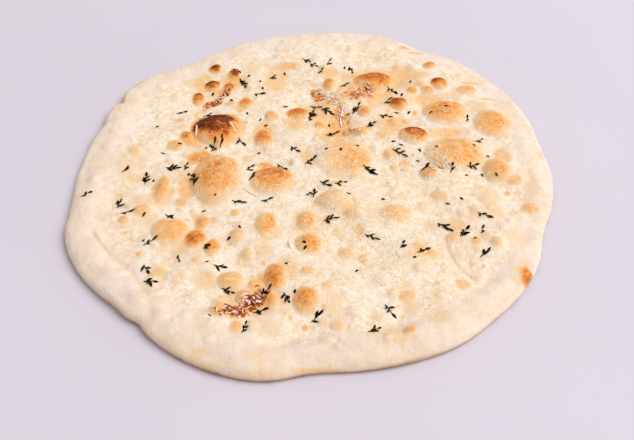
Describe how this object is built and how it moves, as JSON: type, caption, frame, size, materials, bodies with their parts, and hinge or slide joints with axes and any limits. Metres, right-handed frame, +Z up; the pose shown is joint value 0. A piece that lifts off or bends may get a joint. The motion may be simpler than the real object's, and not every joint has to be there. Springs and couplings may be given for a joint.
{
  "type": "focaccia",
  "caption": "Thin round flatbread with a puffy uneven rim and toasted blisters, strewn with thyme and fine grated cheese.",
  "frame": {"origin": "centre of the part's footprint, in the plane of the flat underside", "axes": "+Z up out of the blistered top; -Y towards the side nearest the viewer in the picture, and +X to its right"},
  "size_m": [0.2986, 0.3096, 0.0138],
  "materials": {
    "crust": "baked dough, pale cream and matte, with orange-brown toasted blisters",
    "thyme": "dried dark olive-green leaves and stems, matte",
    "cheese": "finely grated hard cheese, cream-white, slightly waxy"
  },
  "bodies": {
    "root": {"focaccia": "crust"}
  },
  "joints": []
}
